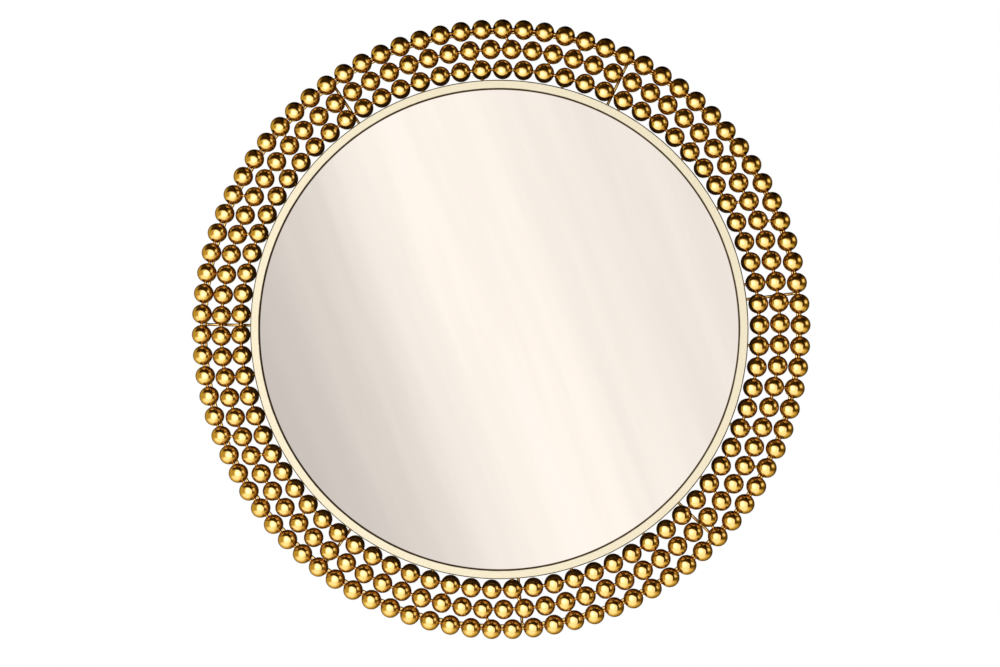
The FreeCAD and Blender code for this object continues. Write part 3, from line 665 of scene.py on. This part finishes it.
# ---------------------------------------------------------------- screws
def turned_mesh(profile, sides):
    """Closed body turned about Y; profile holds (radius, y) from one end to the other."""
    work = bmesh.new()
    rings = []
    for radius, y in profile:
        if radius == 0:
            rings.append([work.verts.new((0, y, 0))])
            continue
        ring = []
        for i in range(sides):
            turn = 2 * math.pi * i / sides
            ring.append(work.verts.new((radius * math.cos(turn), y, radius * math.sin(turn))))
        rings.append(ring)
    for low, high in zip(rings, rings[1:]):
        for i in range(sides):
            j = (i + 1) % sides
            corners = [low[i % len(low)], low[j % len(low)], high[j % len(high)], high[i % len(high)]]
            work.faces.new(list(dict.fromkeys(corners)))
    bmesh.ops.recalc_face_normals(work, faces=work.faces)
    mesh = bpy.data.meshes.new("turned")
    work.to_mesh(mesh)
    work.free()
    return mesh


def cross_cutter(top, depth):
    """Four-armed tapered plug that leaves a cross recess in a screw's head."""
    work = bmesh.new()

    def cross_at(y, half, reach):
        """The cross's outline at y: arms 2 half wide that reach so far from the middle."""
        corners = []
        for quarter in range(4):
            turn = Matrix.Rotation(math.radians(-90 * quarter), 3, "Y")
            for across, along in ((half, reach), (-half, reach), (-half, half)):
                corners.append(work.verts.new(turn @ Vector((across, 0, along)) + Vector((0, y, 0))))
        return corners

    upper = cross_at(top, 0.00048, 0.0019)
    lower = cross_at(top - depth, 0.00030, 0.0010)
    work.faces.new(upper)
    work.faces.new(list(reversed(lower)))
    for i in range(len(upper)):
        j = (i + 1) % len(upper)
        work.faces.new((upper[i], upper[j], lower[j], lower[i]))
    bmesh.ops.recalc_face_normals(work, faces=work.faces)
    mesh = bpy.data.meshes.new("cross")
    work.to_mesh(mesh)
    work.free()
    return mesh


def screw_mesh(seat):
    """Pan-head screw along Y with a cross recess; its head rests on the plane y = seat."""
    shank, head, high = 0.00175, 0.0034, 0.0020
    crown = 0.0014
    profile = [(0, SCREW_TIP), (0.0004, SCREW_TIP + 0.0003), (shank, SCREW_TIP + 0.0012), (shank, seat),
               (head - 0.0001, seat), (head, seat + 0.0001)]
    for i in range(9):
        turn = math.radians(90 * i / 8)
        profile.append((crown + (head - crown) * math.cos(turn) ** 0.7,
                        seat + 0.0005 + (high - 0.0005) * math.sin(turn)))
    profile += [(0.0007, seat + high), (0, seat + high)]
    body = bpy.data.objects.new("screw_body", turned_mesh(profile, 40))
    cutter = bpy.data.objects.new("screw_cutter", cross_cutter(seat + high + 0.0003, 0.0015))
    for item in (body, cutter):
        bpy.context.scene.collection.objects.link(item)
    cut = body.modifiers.new("recess", "BOOLEAN")
    cut.operation = "DIFFERENCE"
    cut.object = cutter
    bpy.context.view_layer.update()
    shaped = bpy.data.meshes.new_from_object(body.evaluated_get(bpy.context.evaluated_depsgraph_get()))
    bpy.data.objects.remove(body)
    bpy.data.objects.remove(cutter)
    return shaped


def make_screws(node, seat, places, material):
    """All the screws of a node, each turned as the driver left it."""
    one = screw_mesh(seat)
    work = bmesh.new()
    for i, (x, z) in enumerate(places):
        copy = one.copy()
        copy.transform(Matrix.Translation((x, 0, z)) @ Matrix.Rotation(math.radians(37 * i), 4, "Y"))
        work.from_mesh(copy)
        bpy.data.meshes.remove(copy)
    mesh = bpy.data.meshes.new(node + "_cross")
    work.to_mesh(mesh)
    work.free()
    mesh.materials.append(material)
    mesh.set_sharp_from_angle(angle=math.radians(35))
    mesh.shade_smooth()
    piece = bpy.data.objects.new(node + "_cross", mesh)
    bpy.context.scene.collection.objects.link(piece)
    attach(piece, "mirror")
    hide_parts(node)


# ---------------------------------------------------------------- the whole picture
def make_all():
    make_camera()
    make_floor()
    make_panel()
    make_world()
    braze = wire_gold("brazed_gold", 0.16, 0.32, 900.0)
    zinc = zinc_plate("zinc_plated_sheet", (0.70, 0.71, 0.72), (0.58, 0.59, 0.60), 260.0)
    steel = zinc_plate("zinc_plated_screw", (0.48, 0.48, 0.50), (0.34, 0.34, 0.36), 900.0)
    dress_nodes({
        "ball_gold": ball_gold(),
        "wire_gold": wire_gold("drawn_wire_gold", 0.14, 0.26, 500.0),
        "band_gold": band_gold(),
        "mirror": mirror(),
        "strip_dark": grained("black_strip", (0.045, 0.04, 0.035), (0.03, 0.028, 0.025), 0.6, 900.0,
                              0.00005, 0.2),
        "foam": grained("white_foam", (0.82, 0.82, 0.80), (0.66, 0.66, 0.64), 0.85, 1500.0, 0.0002),
        "board": painted_board(),
        "zinc_steel": zinc,
        "screw_steel": steel,
        "bumper_rubber": grained("black_rubber", (0.09, 0.09, 0.09), (0.06, 0.06, 0.06), 0.72, 1800.0,
                                 0.00008),
    })
    for row in ROWS:
        braze_necks(row).piece(row + "_neck_brazes", braze, "wire_gold")
    braze_band_ties().piece("inner_band_brazes", braze, "wire_gold")
    braze_ties("inner", "middle", INNER_TIE_ANGLE).piece("middle_inner_brazes", braze, "wire_gold")
    braze_ties("middle", "outer", OUTER_TIE_ANGLE).piece("outer_middle_brazes", braze, "wire_gold")
    weld_spokes().piece("spoke_welds", braze, "wire_gold")
    weld_clips().piece("clip_welds", zinc, "zinc_steel")
    clips = [on_circle(CLIP_SCREW_RADIUS, CLIP_ANGLE + 360 * i / CLIP_COUNT, 0) for i in range(CLIP_COUNT)]
    make_screws("clip_screws", CLIP_SEAT, [(place.x, place.z) for place in clips], steel)
    make_screws("hanger_screws", STRAP_SEAT, HANGER_SCREWS, steel)


make_all()
bpy.context.scene.view_settings.view_transform = "Standard"
